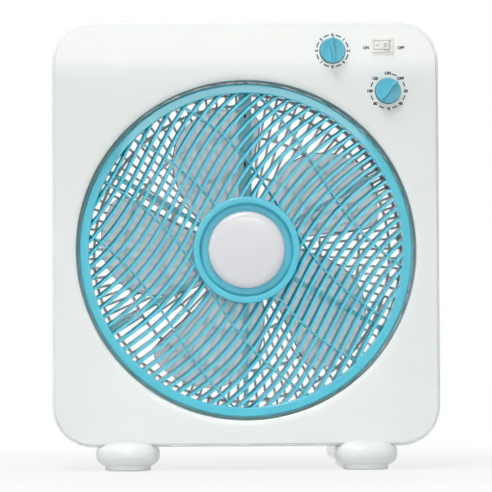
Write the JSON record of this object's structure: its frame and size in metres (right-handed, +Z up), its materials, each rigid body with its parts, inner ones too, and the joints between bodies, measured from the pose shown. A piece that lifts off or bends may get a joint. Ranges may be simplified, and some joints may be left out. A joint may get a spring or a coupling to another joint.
{
  "type": "box fan",
  "caption": "Upright box fan in a rounded white housing, with a slowly turning louvre wheel in front of translucent blades, two dials and a rocker switch.",
  "frame": {"origin": "on the floor, under the middle of the fan", "axes": "+Z up, +Y towards the back, so the louvre wheel faces -Y; +X to the right as seen from the front"},
  "size_m": [0.388, 0.16, 0.4499],
  "materials": {
    "white_plastic": "gloss white moulded plastic",
    "blue_plastic": "satin light blue moulded plastic",
    "cap_plastic": "high gloss white moulded plastic",
    "blade_plastic": "translucent smoky blue moulded plastic",
    "black_plastic": "matte black plastic",
    "ivory_plastic": "satin ivory plastic",
    "steel": "zinc plated steel",
    "dark_steel": "dark painted steel"
  },
  "bodies": {
    "housing": {"front_panel": "white_plastic", "rear_shell": "white_plastic", "foot_left": "white_plastic", "foot_right": "white_plastic", "rear_grille": "white_plastic", "wheel_motor": "steel", "wheel_motor_frame": "blue_plastic", "wheel_motor_lead": "black_plastic", "motor_front_cap": "dark_steel", "motor_rear_cap": "dark_steel", "motor_stator": "dark_steel", "front_bearing": "steel", "rear_bearing": "steel", "speed_switch": "black_plastic", "timer_works": "black_plastic", "rocker_housing": "white_plastic", "capacitor": "black_plastic", "cord_gland": "black_plastic"},
    "rotor": {"fan_rotor": "blade_plastic", "rotor_nut": "black_plastic", "motor_shaft": "steel", "motor_armature": "dark_steel"},
    "louvres": {"louvre_wheel": "blue_plastic", "hub_cap": "cap_plastic", "wheel_nut": "steel", "wheel_shaft": "steel"},
    "speed_dial": {"speed_knob": "blue_plastic", "speed_shaft": "steel"},
    "timer_dial": {"timer_knob": "blue_plastic", "timer_shaft": "steel"},
    "rocker_key": {"rocker": "ivory_plastic"}
  },
  "joints": [
    {"name": "rotor_spin", "type": "hinge", "parent": "housing", "child": "rotor", "pos_m": [0, 0, 0.22], "axis": [0, 1, 0], "continuous": true},
    {"name": "louvre_spin", "type": "hinge", "parent": "housing", "child": "louvres", "pos_m": [0, -0.05, 0.22], "axis": [0, 1, 0], "continuous": true},
    {"name": "speed_turn", "type": "hinge", "parent": "housing", "child": "speed_dial", "pos_m": [0.087, -0.065, 0.4194], "axis": [0, 1, 0], "continuous": true},
    {"name": "timer_turn", "type": "hinge", "parent": "housing", "child": "timer_dial", "pos_m": [0.1426, -0.065, 0.379], "axis": [0, 1, 0], "range_deg": [-45, 270]},
    {"name": "rocker_tilt", "type": "hinge", "parent": "housing", "child": "rocker_key", "pos_m": [0.1373, -0.0629, 0.4248], "axis": [0, 0, 1], "range_deg": [0, 22]}
  ]
}
